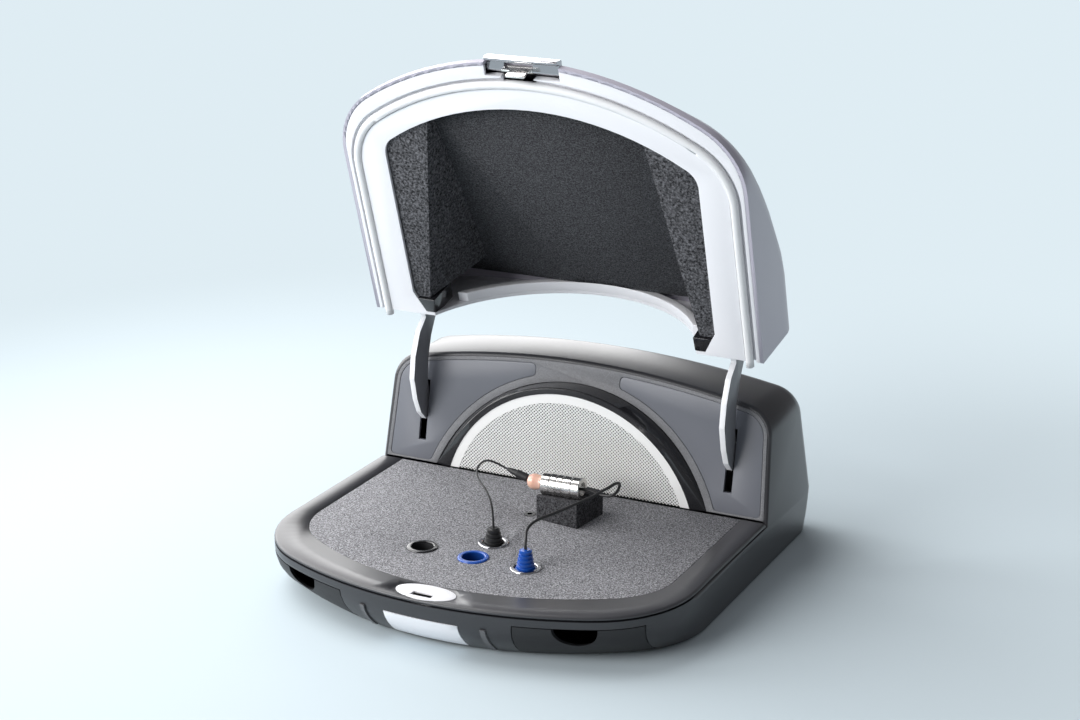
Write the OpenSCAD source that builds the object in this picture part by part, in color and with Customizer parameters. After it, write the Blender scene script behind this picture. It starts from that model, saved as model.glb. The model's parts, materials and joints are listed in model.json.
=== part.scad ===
// Hearing-instrument test box: a D-shaped base, a loudspeaker tower and a foam-lined lid.
// X runs to the right, Y to the back and Z up. The origin is under the middle of the base.
// The lid is shown open. Lid parts are drawn closed and then swung open about the hinge.

/* [Body] */
// Width of the base at the rim
body_w = 330; // [326:1:334]
// Depth of the base over all
body_d = 342; // [338:1:346]
// Depth of the tower, from its foot to the back
tower_d = 111; // [109:1:114]
// Height of the deck over the table
deck_h = 40; // [39:0.5:42]
// Height of the tower over the deck
tower_h = 97; // [96:0.5:100]
// Wall thickness of the outer shell
wall = 3; // [2:0.5:3.5]
// Height of the feet under the shell
foot_h = 1.5; // [1:0.5:2]
// Radius of the arc along the front of the rim
rim_r = 282; // [278:1:286]
// Radius of the rim's front corners
rim_corner_r = 79; // [76:1:82]
// Radius of the rounded edges at the back
back_r = 20; // [16:1:24]
// Radius of the tower's shoulders
shoulder_r = 24; // [20:1:26]
// Radius of the arc over the tower
crown_r = 750; // [700:10:800]
// Lean of the tower's face, in mm of depth for each mm of height
lean = 0.2; // [0.18:0.01:0.22]
// Gap between the shell and the deck frame
seam = 1; // [0.8:0.1:1.4]

/* [Deck] */
// Width of the rim beside the foam mat
rim_side = 19.7; // [18:0.1:22]
// Width of the rim before the foam mat
rim_front = 25.6; // [24:0.2:28]
// Thickness of the foam mat
mat_t = 4; // [3:0.5:5]
// Outer radius of a socket ring
ring_r = 11.5; // [10.5:0.5:12.5]
// Bore radius of a socket
socket_r = 8.2; // [7.8:0.1:8.6]
// Depth of a socket under the deck
socket_depth = 20; // [16:1:22]
// Width of the oval latch plate
latch_plate_w = 46; // [44:1:48]
// Depth of the oval latch plate
latch_plate_d = 23; // [21:1:24]

/* [Front] */
// Height of the drawer fronts
drawer_h = 27; // [25:0.5:28]
// Distance from the middle to the near side of a drawer
drawer_in = 68; // [66:1:70]
// Distance from the base's side to a drawer
drawer_side = 17; // [15:1:19]
// Radius of the half-moon notch in a drawer
notch_r = 14.5; // [12:0.5:16]
// Width of the white front plate
plate_w = 58; // [54:1:62]
// Distance from the middle to a front rib
rib_x = 47.5; // [46:0.5:50]

/* [Speaker] */
// Radius of the perforated grille
grille_r = 108.2; // [106:0.2:110]
// Radius of the drum's front edge
drum_r = 113.3; // [112:0.1:115]
// Radius of the drum where it meets the leaning face
drum_base_r = 124; // [122:0.5:125]
// Distance between the grille's holes
grille_pitch = 7; // [6.5:0.5:9]
// Diameter of the grille's holes
grille_hole = 3.6; // [2.5:0.1:4]
// Radius of the loudspeaker's frame
speaker_r = 54; // [48:1:56]

/* [Lid] */
// How far the lid's rim stands in from the base's rim
lid_inset = 3.3; // [2.5:0.1:4]
// Width of the lid's flange beside the opening
flange_side = 36.2; // [34:0.2:38]
// Width of the lid's flange before the opening
flange_front = 37.2; // [35:0.2:39]
// Wall thickness of the lid
lid_wall = 2.5; // [2:0.5:3]
// Gap between the closed lid's rim and the deck
lid_gap = 3; // [2.5:0.25:4]
// Angle that the lid stands open
lid_open = 72.6; // [60:0.2:75]
// Thickness of the lid's ceiling foam
foam_t = 12; // [8:1:14]
// Radius of the gasket bead
gasket_r = 3.2; // [2.6:0.1:3.3]
// Distance from the lid's side to the middle of the gasket
gasket_in = 10.9; // [10:0.1:12]
// Distance from the lid's front to the middle of the gasket
gasket_front = 18; // [17:0.5:19]
// Distance from the base's side to the middle of a hinge arm
arm_side = 34; // [33:0.5:36]
// Thickness of a hinge arm
arm_t = 4.4; // [3.6:0.2:4.8]
// Clearance between an arm and its slot, on each side
arm_clear = 1; // [0.8:0.1:1.2]
// Radius of the hinge shaft
shaft_r = 4; // [3.5:0.25:4.5]
// Running clearance of the shaft in its brackets
shaft_clear = 0.05; // [0.02:0.01:0.1]

/* [Accessories] */
// Diameter of the coupler
coupler_dia = 18.3; // [17:0.1:20]
// Length of the coupler
coupler_l = 32; // [30:1:34]
// Side of the foam block
block_w = 36; // [34:1:38]
// Height of the foam block
block_h = 19; // [17:0.5:20]
// Diameter of the thin cord
thin_cord_d = 1.6; // [1.4:0.1:2]
// Diameter of the thick cord
thick_cord_d = 2.2; // [2:0.1:2.6]

/* [Hidden] */
$fn = 64;
half_w = body_w/2;
back_y = body_d/2;
foot_y = back_y - tower_d;              // foot of the tower, the mat's rear edge
front_d = body_d - tower_d;             // from the foot to the front of the rim
mat_w = body_w - 2*rim_side;
mat_d = front_d - rim_front;
drawer_out = half_w - drawer_side;
arm_x = half_w - arm_side;
face_y0 = foot_y + 3.7;                 // tower face at deck height
face_t = 3;                             // thickness of the fascia
crown_z = deck_h + tower_h;             // top of the tower
rear_ridge = deck_h - 2.6;              // the back reaches furthest at this height
hinge_y = back_y - 30.4;
hinge_z = deck_h + 68.2;
lid_z = deck_h + lid_gap;               // rim plane of the closed lid
lid_y0 = foot_y + 37.5;                 // where the lid's own depth is counted from
lid_w = body_w - 2*lid_inset;
lid_d = lid_y0 + back_y - lid_inset;
drum_z = deck_h - 33.1;                 // centre of the grille
drum_base_z = deck_h - 44.7;
grille_y = foot_y + 2.3;
arch_r = drum_base_r + 6.4;             // the inserts' edge round the drum
frame_t = 6.5;                          // thickness of the deck frame
lip_h = 3;                              // height of the rim's rounded lip
lip_round = [[0, 0.8], [0.8, 0], [1.8, 0.2], [2.5, 0.8], [3, 2]];
deep_n = 6;
ring_h = 1.2;
sockets = [[-41.8, foot_y - 150.3], [0.2, foot_y - 150.8], [0.7, foot_y - 120.7],
    [42.2, foot_y - 151]];
fit = 0.3;                              // clearance where one piece sits in another

// Points of an arc from angle a0 to a1.
function arc(cx, cy, r, a0, a1, n) =
    [for (i = [0:n]) let (a = a0 + (a1 - a0)*i/n) [cx + r*cos(a), cy + r*sin(a)]];
function mirrored(p) = [for (i = [len(p) - 1:-1:0]) [-p[i][0], p[i][1]]];
// Right half of a D-shaped outline: a front arc of radius r, a corner of radius rc and a
// straight side. The straight rear lies at y, and the apex stands the distance d before it.
function d_half(w, d, r, rc, y) =
    let (cx = w - rc, cy = y - d + r - sqrt((r - rc)*(r - rc) - cx*cx),
         a = atan2(cy - (y - d + r), cx))
    concat(arc(0, y - d + r, r, -90, a, 12), [for (p = arc(cx, cy, rc, a, 0, 10)) p]);
function d_outline(w, d, r, rc, y, yr) =
    let (p = concat(d_half(w, d, r, rc, y), [[w, yr]])) concat(p, mirrored(p));
// A solid through rings of points, each ring with as many points as the first.
module loft(rings) {
    n = len(rings[0]);
    m = len(rings);
    polyhedron(points = [for (ring = rings) for (p = ring) p],
        faces = concat([[for (i = [0:n - 1]) i]],
            [for (k = [0:m - 2]) for (i = [0:n - 1]) let (j = (i + 1) % n)
                each [[k*n + i, (k + 1)*n + i, (k + 1)*n + j], [k*n + i, (k + 1)*n + j, k*n + j]]],
            [[for (i = [n - 1:-1:0]) (m - 1)*n + i]]));
}
function at_z(pts, z) = [for (p = pts) [p[0], p[1], z]];
// How far the front wall has curved in at a height, from 0 at the rim to 1 at the bottom.
function tuck(z) = let (s = max(0, (deck_h - 8 - z)/(deck_h - 8 - foot_h))) s*s;
function rear_y(z) = back_y - (z > rear_ridge ? 0.245*(z - rear_ridge) : 0.168*(rear_ridge - z));
// Plan outline of the base at a height, drawn in by a margin.
function base_ring(z, in) =
    let (t = tuck(z), w = half_w - 1.8*t - in, r = back_r - 0.8*in,
         p = concat(d_half(w, front_d - 20*t - in, rim_r - 62*t - in, rim_corner_r - 11*t - in,
             foot_y), arc(w - r, rear_y(z) - in - r, r, 0, 90, deep_n)))
    at_z(concat(p, mirrored(p)), z);
module base_form(in, z0, z1) {
    mids = [for (z = [8:6:deck_h - 8]) if (z > z0 + 2 && z < z1 - 2) z];
    loft([for (z = concat([z0], mids, [z1])) base_ring(z, in)]);
}
// Front outline of the tower, right half: side, shoulder and crown.
function side_x(z) = half_w - 0.06*max(0, z - deck_h);
shoulder_x = side_x(deck_h + 60) - shoulder_r;
shoulder_z = crown_z - crown_r + sqrt(pow(crown_r - shoulder_r, 2) - pow(shoulder_x, 2));
crown_a = atan2(shoulder_z - (crown_z - crown_r), shoulder_x);
function tower_half(z0, in) = concat([[side_x(z0) - in, z0]],
    arc(shoulder_x, shoulder_z, shoulder_r - in, 3.4, crown_a, 10),
    [for (i = [1:10]) arc(0, crown_z - crown_r, crown_r - in, crown_a, 90, 10)[i]]);
function tower_outline(z0, in) =
    let (p = tower_half(z0, in)) concat(p, [for (i = [len(p) - 2:-1:0]) [-p[i][0], p[i][1]]]);
function face_y(z) = face_y0 + lean*(z - deck_h);
module tower_form(in, z0) {
    fronts = in > 0 ? [[0, -30]] : [[2, 0], [0.6, 0.6], [0, 2]];
    backs = [for (i = [0:deep_n]) let (a = 90*i/deep_n) [back_r*(1 - cos(a)), back_r*(1 - sin(a))]];
    rings = concat(
        [for (f = fronts) [for (p = tower_outline(z0, in + f[0])) [p[0], face_y(p[1]) + f[1], p[1]]]],
        [for (b = backs) [for (p = tower_outline(z0, in + b[0]*(back_r - in)/back_r))
            [p[0], rear_y(p[1]) - in - b[1]*(back_r - in)/back_r, p[1]]]]);
    loft([for (i = [len(rings) - 1:-1:0]) rings[i]]);
}
module along_y(y0, y1) translate([0, y1, 0]) rotate([90, 0, 0]) linear_extrude(y1 - y0) children();
module along_x(x0, x1) translate([x0, 0, 0]) rotate([90, 0, 90]) linear_extrude(x1 - x0) children();
// The slab between two planes parallel to the tower's face.
module face_slab(y0, y1, z0, z1) along_x(-half_w, half_w)
    polygon([[face_y(z0) + y0, z0], [face_y(z0) + y1, z0], [face_y(z1) + y1, z1], [face_y(z1) + y0, z1]]);

module body_shell() color("#3c3d42") difference() {
    union() {
        base_form(0, foot_h, deck_h - lip_h - seam);
        tower_form(0, deck_h - lip_h - seam);
    }
    base_form(wall, foot_h - 1, deck_h - lip_h + 1);
    tower_form(wall, deck_h - lip_h - 2*seam);
    // room for the deck frame before the tower
    translate([-half_w, -back_y - 1, deck_h - lip_h - seam]) cube([body_w, front_d + 4, 60]);
    drawer_hole();
    mirror([1, 0, 0]) drawer_hole();
    front_hole(plate_w/2 + fit, 4 - fit, 25 + fit);
    translate([rear_inlet_x - 14, back_y - 30, 10]) cube([28, 40, 20]);
    translate([rear_data_x - 6.2, back_y - 30, 14]) cube([12.4, 40, 11.4]);
}
rear_inlet_x = 70;
rear_data_x = 20;
module front_hole(x, z0, z1) translate([-x, -back_y - 5, z0]) cube([2*x, 80, z1 - z0]);
// Front outline of the right drawer.
module drawer_2d(in) polygon([[drawer_in + in, 3 + drawer_h - in], [drawer_in - 3 + in, 3 + in],
    [drawer_out - 2 - in, 3 + in], [drawer_out - in, 3 + drawer_h - in]]);
module drawer_hole() along_y(-back_y - 5, -60) drawer_2d(-0.6);
module bottom_plate() color("#2f3034") difference() {
    translate([0, 0, foot_h]) linear_extrude(2.5)
        polygon([for (p = base_ring(foot_h, wall + fit)) [p[0], p[1]]]);
    for (p = screw_places) translate([p[0], p[1], 0]) cylinder(r = 1.8, h = 10);
}
screw_places = [for (side = [-1, 1]) each [[side*(arm_x - 15), back_y - 22],
    [side*(half_w - 15), foot_y - 40], [side*60, 41 - back_y]]];
module bottom_screws() color("silver") for (p = screw_places) translate([p[0], p[1], foot_h - 1])
    union() { cylinder(r = 3.2, h = 1); cylinder(r = 1.6, h = 8); }
foot_places = [for (side = [-1, 1]) each [[side*(half_w - 40), back_y - 36],
    [side*(half_w - 65), 61 - back_y]]];
module feet() color("#202022") for (p = foot_places) translate([p[0], p[1], 0])
    cylinder(r = 9, h = foot_h);

module rim_form(in, z0, z1) translate([0, 0, z0]) linear_extrude(z1 - z0)
    polygon(d_outline(half_w - in, front_d - in, rim_r - in, rim_corner_r - in, foot_y, foot_y));
module mat_2d(out) polygon(d_outline(mat_w/2 + out, mat_d + out, mat_d + 14 + out, 55.7 + out,
    foot_y, foot_y + 1));
module deck_frame() color("#45464b") difference() {
    union() {
        loft([for (l = lip_round) at_z(d_outline(half_w - l[1], front_d - l[1], rim_r - l[1],
            rim_corner_r - l[1], foot_y, foot_y), deck_h - lip_h + l[0])]);
        rim_form(wall + fit, deck_h - frame_t, deck_h - lip_h + 0.5);
    }
    translate([0, 0, deck_h - mat_t]) linear_extrude(mat_t + 1) mat_2d(fit);
    for (s = sockets) translate([s[0], s[1], 0]) cylinder(r = socket_r + 1.5 + fit, h = deck_h);
    translate([-0.5, foot_y - 60, 0]) cylinder(r = 3.2, h = deck_h);
    translate([-0.5, latch_y, deck_h - 1.2]) latch_oval(fit, 5);
    translate([-10, latch_y - 9.5, 0]) cube([18, 12, deck_h]);
    translate([-14 - fit, latch_y - 10 - fit, deck_h - 1.2 - strike_t])
        cube([26 + 2*fit, 14 + 2*fit, deck_h]);
}
strike_t = 1.2;
module latch_slot() translate([-9, pin_y - 5.8, 0]) cube([16, 5.9, deck_h + 2]);
latch_y = -back_y + latch_plate_d/2 + 1.2;
module latch_oval(out, h) linear_extrude(h)
    polygon([for (a = [0:7.5:352.5]) [(latch_plate_w/2 + out)*cos(a), (latch_plate_d/2 + out)*sin(a)]]);
module latch_plate() color("#f2f2f2") difference() {
    translate([-0.5, latch_y, deck_h - 1.2]) latch_oval(0, 1.5);
    latch_slot();
}
module latch_strike() color("silver") difference() {
    translate([-14, latch_y - 10, deck_h - 1.2 - strike_t]) cube([26, 14, strike_t]);
    latch_slot();
}
module deck_mat() color("#6b6b70") difference() {
    translate([0, 0, deck_h - mat_t]) linear_extrude(mat_t) intersection() {
        mat_2d(0);
        translate([-half_w, -back_y]) square([body_w, front_d - 0.2]);
    }
    for (s = sockets) translate([s[0], s[1], 0]) cylinder(r = socket_r + 1.5 + fit, h = deck_h + 1);
    translate([-0.5, foot_y - 60, 0]) cylinder(r = 3.2, h = deck_h + 1);
}
module socket_ring(p) translate([p[0], p[1], deck_h]) rotate_extrude()
    polygon(concat([[socket_r, 0], [ring_r, 0]],
        [for (a = [15:15:90]) [ring_r - 1.2 + 1.2*cos(a), ring_h*sin(a)]],
        [[socket_r + 0.6, ring_h], [socket_r, ring_h - 0.5]]));
module socket_well(p) translate([p[0], p[1], deck_h - socket_depth]) difference() {
    cylinder(r = socket_r + 1.5, h = socket_depth);
    translate([0, 0, 2]) cylinder(r = socket_r, h = socket_depth);
    translate([0, 0, -1]) cylinder(r = 1.8, h = 5);
}
module left_socket_ring() color("#101012") socket_ring(sockets[0]);
module blue_socket_ring() color("#1f4fb5") socket_ring(sockets[1]);
module centre_socket_ring() color("silver") socket_ring(sockets[2]);
module right_socket_ring() color("silver") socket_ring(sockets[3]);
module left_socket() color("#151517") socket_well(sockets[0]);
module blue_socket() color("#151517") socket_well(sockets[1]);
module centre_socket() color("#151517") socket_well(sockets[2]);
module right_socket() color("#151517") socket_well(sockets[3]);
module reference_bush() color("#202022") translate([-0.5, foot_y - 60, deck_h - 8]) difference() {
    union() { cylinder(r = 3.1, h = 8); translate([0, 0, 8]) cylinder(r = 4.4, h = 0.5); }
    translate([0, 0, 2]) cylinder(r = 2, h = 8);
}

// Front pieces: skins of the curved front wall, cut to their own outlines.
module front_skin(out, in, z0, z1) difference() {
    base_form(-out, z0, z1);
    base_form(in, z0 - 1, z1 + 1);
}
module front_plate() color("#e9e9ee") intersection() {
    front_skin(0.4, wall - 0.6, 4, 25);
    front_hole(plate_w/2, 4, 25);
}
module rib() intersection() {
    front_skin(1.4, -0.02, 3, 25);
    translate([rib_x - 1.8, -back_y - 5, 3]) cube([3.6, 60, 22]);
}
module front_ribs() color("#77787c") {
    rib();
    mirror([1, 0, 0]) rib();
}
tray_in = drawer_in + 4;
tray_out = drawer_out - 5;
tray_back = foot_y - 120;
tray_front = 1 - back_y;
module drawer() color("#2b2b2e") difference() {
    union() {
        intersection() {
            front_skin(0, wall, 3, 3 + drawer_h);
            along_y(-back_y - 5, -60) drawer_2d(0);
        }
        difference() {
            translate([tray_in, tray_front, 5])
                cube([tray_out - tray_in, tray_back - tray_front, drawer_h - 4]);
            translate([tray_in + 2, tray_front - 1, 7])
                cube([tray_out - tray_in - 4, tray_back - tray_front - 1, drawer_h]);
            difference() {
                translate([0, -body_d, 0]) cube([body_w, body_d, deck_h]);
                base_form(wall - 0.1, 4, 31);
            }
        }
    }
    along_y(-back_y - 20, -60) translate([(drawer_in + drawer_out)/2, 3 + drawer_h])
        circle(r = notch_r);
}
module right_drawer() drawer();
module left_drawer() mirror([1, 0, 0]) drawer();

// Tower front
module insert_2d(in) difference() {
    intersection() {
        polygon(tower_outline(deck_h + 1.5, 6.4 + in));
        translate([36 + in, deck_h + 1.5 + in]) square([150, 120]);
    }
    translate([0, drum_base_z]) circle(r = arch_r + in, $fn = 128);
}
module insert_round(in) offset(r = 3.5) offset(delta = -3.5) insert_2d(in);
module slot_2d() translate([arm_x - arm_t/2 - arm_clear, deck_h + 16.3])
    square([arm_t + 2*arm_clear, 48]);
module tower_fascia() color("#4a4b50") intersection() {
    face_slab(0, face_t, deck_h, crown_z);
    along_y(foot_y, back_y) difference() {
        polygon(tower_outline(deck_h, wall + fit));
        for (side = [0, 1]) mirror([side, 0]) {
            insert_round(-fit);
            slot_2d();
        }
        translate([0, drum_base_z]) circle(r = drum_base_r + fit, $fn = 128);
    }
}
module tower_insert() intersection() {
    face_slab(0.2, face_t - 0.2, deck_h, crown_z);
    along_y(foot_y, back_y) difference() {
        insert_round(0);
        slot_2d();
    }
}
module right_insert() color("#5d6068") tower_insert();
module left_insert() color("#5d6068") mirror([1, 0, 0]) tower_insert();
module disc_y(x, y, z, r, t, n = 96) translate([x, y, z]) rotate([-90, 0, 0]) cylinder(r = r, h = t, $fn = n);
module speaker_ring() color("#1d1d20") difference() {
    intersection() {
        union() {
            hull() {
                disc_y(0, grille_y - 0.6, drum_z, drum_r - 1, 0.2);
                disc_y(0, grille_y, drum_z, drum_r, 0.4);
                intersection() {
                    face_slab(0, face_t, deck_h, crown_z);
                    disc_y(0, 0, drum_base_z, drum_base_r, back_y);
                }
            }
        }
        translate([-half_w, 0, deck_h]) cube([body_w, back_y, tower_h]);
    }
    disc_y(0, 0, drum_z, grille_r, back_y, 128);
}
module grille() color("#e4e4e6") translate([0, grille_y, 0]) along_y(0, 1) difference() {
    intersection() {
        translate([0, drum_z]) circle(r = grille_r - 0.1, $fn = 128);
        translate([-grille_r, deck_h + 0.1]) square([2*grille_r, grille_r]);
    }
    for (row = [0:12], col = [-14:14]) {
        x = (col + (row % 2)/2)*grille_pitch;
        z = deck_h + 5 + row*grille_pitch*0.75;
        if (norm([x, z - drum_z]) < grille_r - 7) translate([x, z]) circle(d = grille_hole, $fn = 16);
    }
}
speaker_z = drum_z + grille_r - speaker_r - 1;
module speaker_basket() color("#303034") translate([0, grille_y + 8, speaker_z]) rotate([-90, 0, 0])
    rotate_extrude() polygon([[speaker_r - 6, 0], [speaker_r, 0], [speaker_r, 2.5],
        [speaker_r - 8, 2.5], [31, 28], [31, 30], [24, 30], [24, 28], [speaker_r - 10, 1.5]]);
module speaker_cone() color("#18181a") translate([0, grille_y + 8, speaker_z]) rotate([-90, 0, 0])
    rotate_extrude() polygon([[0, 20], [12, 20], [speaker_r - 10.4, 1], [speaker_r - 9.5, 1],
        [12, 22], [0, 22]]);
module speaker_magnet() color("#77787c") translate([0, grille_y + 38, speaker_z])
    rotate([-90, 0, 0]) cylinder(r = 30, h = 18);
module circuit_board() color("#1e6b3a") translate([-80, -40, 12]) difference() {
    cube([140, 80, 1.6]);
    for (x = [5, 135], y = [5, 75]) translate([x, y, -1]) cylinder(r = 1.6, h = 4);
}
module power_inlet() color("#18181a") translate([rear_inlet_x - 13.7, back_y - 24, 10.3])
    difference() { cube([27.4, 21, 19.4]); translate([2, 6, 2]) cube([23.4, 20, 15.4]); }
module data_socket() color("silver") translate([rear_data_x - 6, back_y - 20, 14.2])
    difference() { cube([12, 17, 11]); translate([1, 5, 1]) cube([10, 20, 9]); }
module bracket() color("#8a8b90") difference() {
    union() {
        along_x(arm_x + 5, arm_x + 9) polygon([[hinge_y - 14, foot_h + 2.5], [hinge_y + 14, foot_h + 2.5],
            [hinge_y + 8, hinge_z + 3], [hinge_y + 4, hinge_z + 6.5], [hinge_y - 5, hinge_z + 6.5],
            [hinge_y - 9, hinge_z + 3]]);
        translate([arm_x + 5, hinge_y - 14, foot_h + 2.5]) cube([16, 28, 3]);
    }
    along_x(arm_x, arm_x + 12) translate([hinge_y, hinge_z]) circle(r = shaft_r + shaft_clear);
}
module right_bracket() bracket();
module left_bracket() mirror([1, 0, 0]) bracket();

// Accessories on the deck
block_p = [28.2, foot_y - 50.7];
coupler_p = [24.6, foot_y - 55];
coupler_z = deck_h + 25.3;
coupler_turn = 2;
module foam_block() color("#2c2c2f") difference() {
    translate([block_p[0], block_p[1], deck_h]) rotate([0, 0, -7.8])
        translate([-block_w/2, -block_w/2, 0]) cube([block_w, block_w, block_h]);
    coupler_place() translate([0, 0, -30]) cylinder(d = coupler_dia + 0.2, h = 60);
}
module coupler_place() translate([coupler_p[0], coupler_p[1], coupler_z])
    rotate([0, 90, coupler_turn]) children();
cap_l = 7;
screw_l = 8;
module coupler_body() color("silver") coupler_place() rotate_extrude() {
    l0 = -coupler_l/2 + screw_l;
    l1 = coupler_l/2 - cap_l;
    r = coupler_dia/2;
    polygon(concat([[0, l0], [r - 0.4, l0], [r, l0 + 0.4]],
        [for (k = [1:2]) each [[r, l0 + 5*k - 0.5], [r - 0.7, l0 + 5*k], [r - 0.7, l0 + 5*k + 0.6],
            [r, l0 + 5*k + 1.1]]],
        [[r, l1 - 0.4], [r - 0.4, l1], [0, l1]]));
}
module coupler_cap() color("silver") coupler_place() translate([0, 0, coupler_l/2 - cap_l])
    difference() {
        rotate_extrude() polygon([[0, 0], [coupler_dia/2 - 0.8, 0], [coupler_dia/2 - 0.8, 0.8],
            [coupler_dia/2, 1.2], [coupler_dia/2, cap_l - 0.6], [coupler_dia/2 - 0.6, cap_l], [0, cap_l]]);
        translate([0, 0, cap_l - 2.5]) cylinder(r = 5.2, h = 5);
    }
module coupler_ring() color("silver") coupler_place() translate([0, 0, -coupler_l/2])
    difference() {
        rotate_extrude() polygon([[0, 0], [coupler_dia/2 - 1.6, 0], [coupler_dia/2 - 0.4, 1.2],
            [coupler_dia/2 - 0.4, screw_l - 1], [coupler_dia/2 - 1, screw_l], [0, screw_l]]);
        translate([0, 0, -1]) cylinder(r = 1.5, h = 4);
    }
module ear_mould() color("#dba592") coupler_place() translate([0, 0, -coupler_l/2 - 12.5])
    rotate_extrude() polygon([[0, 0], [2.6, 0.2], [4.6, 1.4], [5.8, 3.4], [6.1, 5.6], [5.7, 8],
        [5.3, 10], [5.4, 12.5], [0, 12.5]]);
mic_tip = [-4.4, foot_y - 55, deck_h + 26.5];
mic_tilt = 16;
module mic_place() translate(mic_tip) rotate([0, -90 + mic_tilt, coupler_turn]) children();
module reference_mic() color("#141416") mic_place() rotate_extrude()
    polygon([[0, 0], [2.4, 0], [3.1, 0.8], [3.1, 9.2], [2.7, 10], [0, 10]]);
module mic_tail() color("#141416") mic_place() translate([0, 0, 10]) rotate_extrude()
    polygon([[0, 0], [2.5, 0], [2.2, 3], [1.4, 7.5], [0, 7.5]]);
module plug(p, base_r, top_r, h, ribs) translate([p[0], p[1], deck_h - 12]) rotate_extrude()
    polygon(concat([[0, 0], [socket_r - 0.4, 0], [socket_r - 0.4, 12]],
        [for (k = [0:ribs - 1]) let (r = base_r + (top_r - base_r)*k/(ribs - 1), z = 12.2 + k*h/ribs)
            each [[r, z], [r, z + 0.6*h/ribs], [r - 1, z + 0.7*h/ribs]]],
        [[top_r - 1.4, 12 + h], [0, 12 + h]]));
black_h = 12;
blue_h = 14.5;
module black_plug() color("#111113") plug(sockets[2], 7, 4.6, black_h, 4);
module blue_plug() color("#1d4db8") plug(sockets[3], 6.7, 4.6, blue_h, 5);
thin_route = [[0.7, -60.7, 52], [0.6, -60.6, 55], [0, -60, 60], [-1.5, -58.5, 66], [-5, -55.5, 72],
    [-11, -50.5, 76], [-18, -45, 78.3], [-24, -38.5, 79.6], [-28.5, -31, 80.6], [-31.5, -23, 81],
    [-33.5, -14.5, 80.6], [-34.3, -6.5, 79.4], [-33.4, -0.5, 77.4], [-29.5, 3.6, 74.6],
    [-25.2, 4.4, 72.6], [-21.3, 4.4, 71.4]];
thick_route = [[42.2, -91, 54.5], [41.9, -90.6, 57.5], [40.5, -87.2, 61.3], [37.8, -80.6, 63.7],
    [37.4, -73.2, 65.7], [39.6, -64.2, 67], [44.6, -56, 68.3], [50.4, -47.5, 70.2], [57.1, -39, 73],
    [63, -31.5, 75.4], [68.4, -24.5, 78.2], [72.4, -18, 80.4], [75, -11, 81.6], [75.2, -5, 79.4],
    [73.2, -1.4, 74.6], [69.8, 1.4, 69.2], [65, 3.6, 65.2], [59, 4.8, 63.6], [53, 5.4, 64],
    [47, 5.6, 65.2], [38.2, 5.5, 65.3]];

// Lid. Its depth s is counted forwards from lid_y0 and its height h from its rim plane.
lid_margin = side_x(lid_z) - lid_w/2;
lid_top = crown_z - lid_z - lid_margin;
lid_brow = 5;                           // height of the upright edge at the apex
lid_flat = 81;                          // the crown starts to fall at this depth
lid_rear = 38.4;
lid_levels = concat([0, lid_brow - 0.1, lid_brow],
    [for (f = [0.13, 0.22, 0.33, 0.44, 0.55, 0.64, 0.72, 0.79, 0.86, 0.915, 0.957, 0.985]) f*lid_top]);
function lid_x(h, in) =
    let (c = lid_margin + in, z = lid_z + h, r = shoulder_r - c)
    z < shoulder_z ? min(lid_w/2 - in, side_x(z) - c)
    : z < shoulder_z + r*sin(crown_a) ? shoulder_x + sqrt(r*r - pow(z - shoulder_z, 2))
    : sqrt(max(4, pow(crown_r - c, 2) - pow(z - crown_z + crown_r, 2)));
function lid_front(h, in) = h < lid_brow ? lid_d - in : lid_flat - 0.7*in
    + (lid_d - lid_flat)*pow(max(0, lid_top - in - h)/(lid_top - lid_brow), 0.343);
function lid_ring(h, in, back) =
    let (w = lid_x(max(h, 0), in))
    at_z(d_outline(w, lid_front(h, in), max(253.7, 238.4 + 0.8*h) - in,
        min(max(58.7, 39.6 + 0.917*h + 0.009*h*h) - in, 0.8*w), lid_y0,
        lid_y0 - lid_rear + lean*h + back), lid_z + h);
module lid_form(in, h0, back) {
    top = lid_top - in - 0.4;
    loft([for (h = concat([h0], [for (l = lid_levels) if (l > h0 + 1 && l < top - 1) l], [top]))
        lid_ring(h, in, back)]);
}
module swing() translate([0, hinge_y, hinge_z]) rotate([-lid_open, 0, 0])
    translate([0, -hinge_y, -hinge_z]) children();
module lid_shell() color("#cfcbd8") swing() difference() {
    lid_form(0, 0, 0);
    lid_form(lid_wall, -1, 2);
    along_x(-handle_w/2 - 1, handle_w/2 + 1) polygon([[pin_y - 13, lid_z - 1], [pin_y + 4, lid_z - 1],
        [pin_y + 4, lid_z + 9], [pin_y, lid_z + 9], [pin_y - 13, lid_z + 12.1]]);
    along_x(-handle_w, handle_w) translate([pin_y, pin_z]) circle(r = pin_r + 0.05);
}
opening_w = lid_w - 2*flange_side;
opening_d = lid_d - flange_front;
opening_rear = 39.5;
// Plan of the foam's opening: an arc in front, small corners and chamfers at the rear.
function opening_pts(in) =
    let (p = concat(d_half(opening_w/2 - in, opening_d - in, 214.8 - in, 16.6 - in, lid_y0),
        [[opening_w/2 - in, lid_y0 - 58], [opening_w/2 - 9.8 - in, lid_y0 - opening_rear - in],
        [opening_w/2 - 9.8 - in, lid_y0 - 25]]))
    concat(p, mirrored(p));
module opening_2d(in) polygon(opening_pts(in));
module rear_slab(y0, y1) along_x(-half_w, half_w) polygon([
    for (p = [[0, y0], [0, y1], [lid_top, y1], [lid_top, y0]])
        [lid_y0 - lid_rear + lean*p[0] + p[1], lid_z + p[0]]]);
module lid_outline_2d(in) {
    p = concat([for (h = concat([0], [for (l = lid_levels) if (l > 1) l])) [lid_x(h, in), lid_z + h]],
        [[lid_x(lid_top - in - 1, in), lid_z + lid_top - in - 1]]);
    polygon(concat(p, mirrored(p)));
}
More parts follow.
